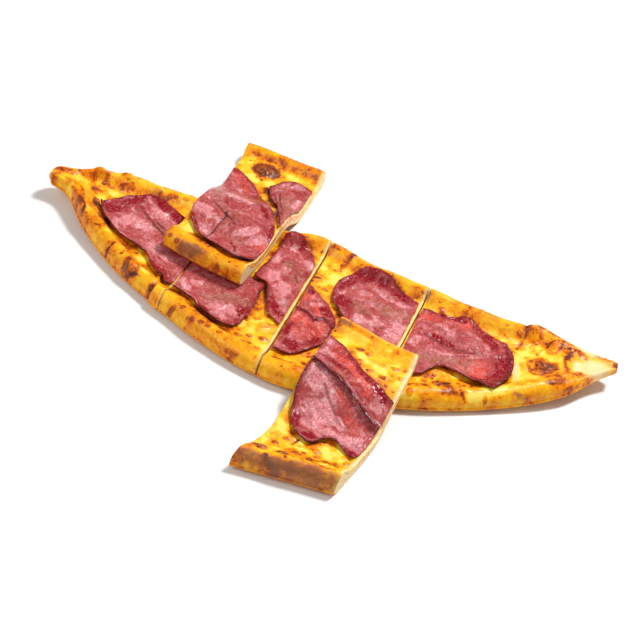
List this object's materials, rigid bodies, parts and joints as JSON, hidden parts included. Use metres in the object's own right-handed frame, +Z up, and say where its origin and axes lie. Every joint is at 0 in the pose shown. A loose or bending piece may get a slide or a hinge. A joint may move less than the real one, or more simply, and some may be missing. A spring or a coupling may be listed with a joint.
{
  "type": "sliced boat-shaped flatbread with cheese and cured beef",
  "caption": "Long boat-shaped flatbread with raised rims, melted cheese and thin slices of cured beef, cut across, with slices lying crosswise on both rims.",
  "frame": {"origin": "centre of the underside of the long boat shape, on the surface it rests on", "axes": "+X along the boat from its blunt tip to its pointed tip, +Y across it away from the viewer of the picture, +Z up"},
  "size_m": [0.3745, 0.2786, 0.0276],
  "materials": {
    "crust": "baked golden brown, slightly glossy on the rims",
    "cheese": "melted, oily, with browned blisters",
    "cured_beef": "moist, thin, deep red with a pale sheen"
  },
  "bodies": {
    "root": {"bread_left_end": "crust", "bread_left_middle": "crust", "bread_right_middle": "crust", "bread_right_end": "crust", "bread_back": "crust", "bread_front": "crust", "cheese_left_end": "cheese", "cheese_left_middle": "cheese", "cheese_right_middle": "cheese", "cheese_right_end": "cheese", "cheese_back": "cheese", "cheese_front": "cheese", "pastirma_left_end": "cured_beef", "pastirma_left_middle_long": "cured_beef", "pastirma_left_middle_short": "cured_beef", "pastirma_right_middle_upper": "cured_beef", "pastirma_right_middle_lower": "cured_beef", "pastirma_right_middle_far": "cured_beef", "pastirma_right_end": "cured_beef", "pastirma_back_large": "cured_beef", "pastirma_back_small": "cured_beef", "pastirma_front_lower": "cured_beef", "pastirma_front_upper": "cured_beef"}
  },
  "joints": []
}
